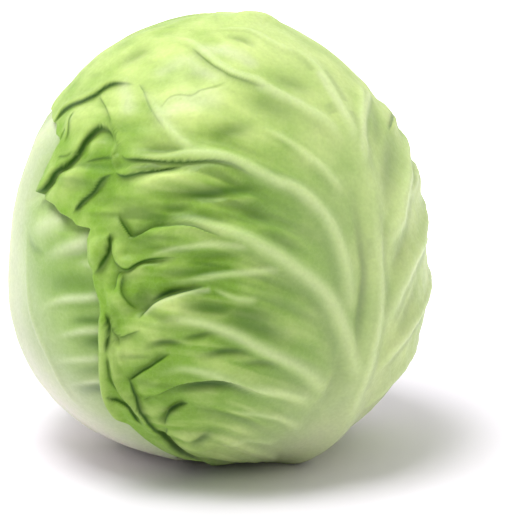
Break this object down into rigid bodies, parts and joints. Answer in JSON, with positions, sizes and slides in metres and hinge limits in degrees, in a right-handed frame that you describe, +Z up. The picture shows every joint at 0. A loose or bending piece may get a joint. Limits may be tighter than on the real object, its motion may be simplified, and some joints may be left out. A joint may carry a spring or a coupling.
{
  "type": "cabbage head",
  "caption": "Round green cabbage head with ribbed wrapper leaves folded over the crown, standing on the cut end of its stalk.",
  "frame": {"origin": "middle of the stalk's cut face, on the surface that the head stands on", "axes": "+Z up the stalk towards the crown, -Y towards the side where the outermost leaf's ribs fan out and its crumpled edge shows, +X to that side's right"},
  "size_m": [0.1808, 0.1768, 0.1853],
  "materials": {
    "front_leaf": "waxy bright green leaf with pale ribs",
    "wrapper_leaves": "waxy pale green leaf with whitish ribs",
    "inner_leaves": "pale yellow-green leaf, smooth",
    "stalk": "cut stem, moist and fibrous"
  },
  "bodies": {
    "root": {"stalk": "stalk", "heart": "inner_leaves", "leaf_front": "front_leaf", "leaf_left": "wrapper_leaves", "leaf_right_back": "wrapper_leaves", "leaf_left_back": "wrapper_leaves"}
  },
  "joints": []
}
